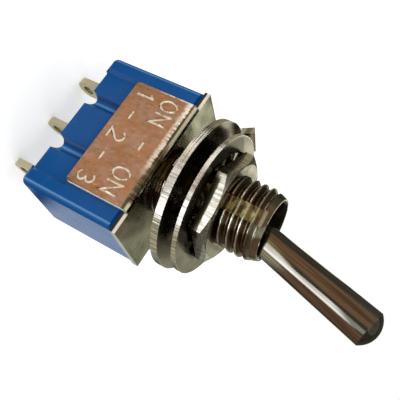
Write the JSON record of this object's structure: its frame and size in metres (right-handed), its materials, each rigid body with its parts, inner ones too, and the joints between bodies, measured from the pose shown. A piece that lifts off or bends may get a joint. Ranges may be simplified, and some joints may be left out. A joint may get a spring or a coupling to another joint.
{
  "type": "toggle switch",
  "caption": "Miniature panel-mount toggle switch with a threaded bushing, hex nuts, washers, a round bat lever and solder lugs.",
  "frame": {"origin": "on the bushing's axis at the panel's seat, the locating washer's top face", "axes": "+Z along the bushing, out of the panel towards the lever; +X along the row of terminals, towards the side the lever leans to at rest; Y across the case's thickness, -Y towards the bushing's keyway"},
  "size_m": [0.0139, 0.0128, 0.0323],
  "materials": {
    "blue_plastic": "smooth moulded",
    "sheet_metal": "satin tinned sheet",
    "plated_metal": "bright nickel plate",
    "lever_chrome": "bright chrome plate",
    "tinned_metal": "dull tinned brass",
    "white_nylon": "natural nylon",
    "spring_steel": "drawn wire",
    "contact_brass": "plain strip",
    "silver": "polished rivet",
    "epoxy": "cast resin"
  },
  "bodies": {
    "switch": {"case": "blue_plastic", "frame": "sheet_metal", "bushing": "plated_metal", "rear_nut": "plated_metal", "locating_washer": "plated_metal", "lock_washer": "plated_metal", "front_nut": "plated_metal", "left_fixed_contact": "silver", "right_fixed_contact": "silver", "left_terminal": "tinned_metal", "centre_terminal": "tinned_metal", "right_terminal": "tinned_metal", "left_seal": "epoxy", "centre_seal": "epoxy", "right_seal": "epoxy"},
    "lever": {"lever": "lever_chrome", "plunger_spring": "spring_steel"},
    "plunger": {"plunger": "white_nylon"},
    "rocker": {"rocker": "contact_brass", "left_rocker_contact": "silver", "right_rocker_contact": "silver"}
  },
  "joints": [
    {"name": "lever_tilt", "type": "hinge", "parent": "switch", "child": "lever", "pos_m": [0, 0, 0.00239], "axis": [0, 1, 0], "range_deg": [-29, 0]},
    {"name": "plunger_slide", "type": "slide", "parent": "lever", "child": "plunger", "axis": [0.2504, 0, 0.9681], "range_m": [0, 0.0004], "stiffness_N_per_m": 300, "springref_m": -0.002, "deforming": ["plunger_spring"]},
    {"name": "rocker_tilt", "type": "hinge", "parent": "switch", "child": "rocker", "pos_m": [0, 0, -0.00963], "axis": [0, 1, 0], "range_deg": [0, 16]}
  ],
  "couplings": [
    {"joint": "rocker_tilt", "follows": "lever_tilt", "ratio": -0.5517}
  ]
}
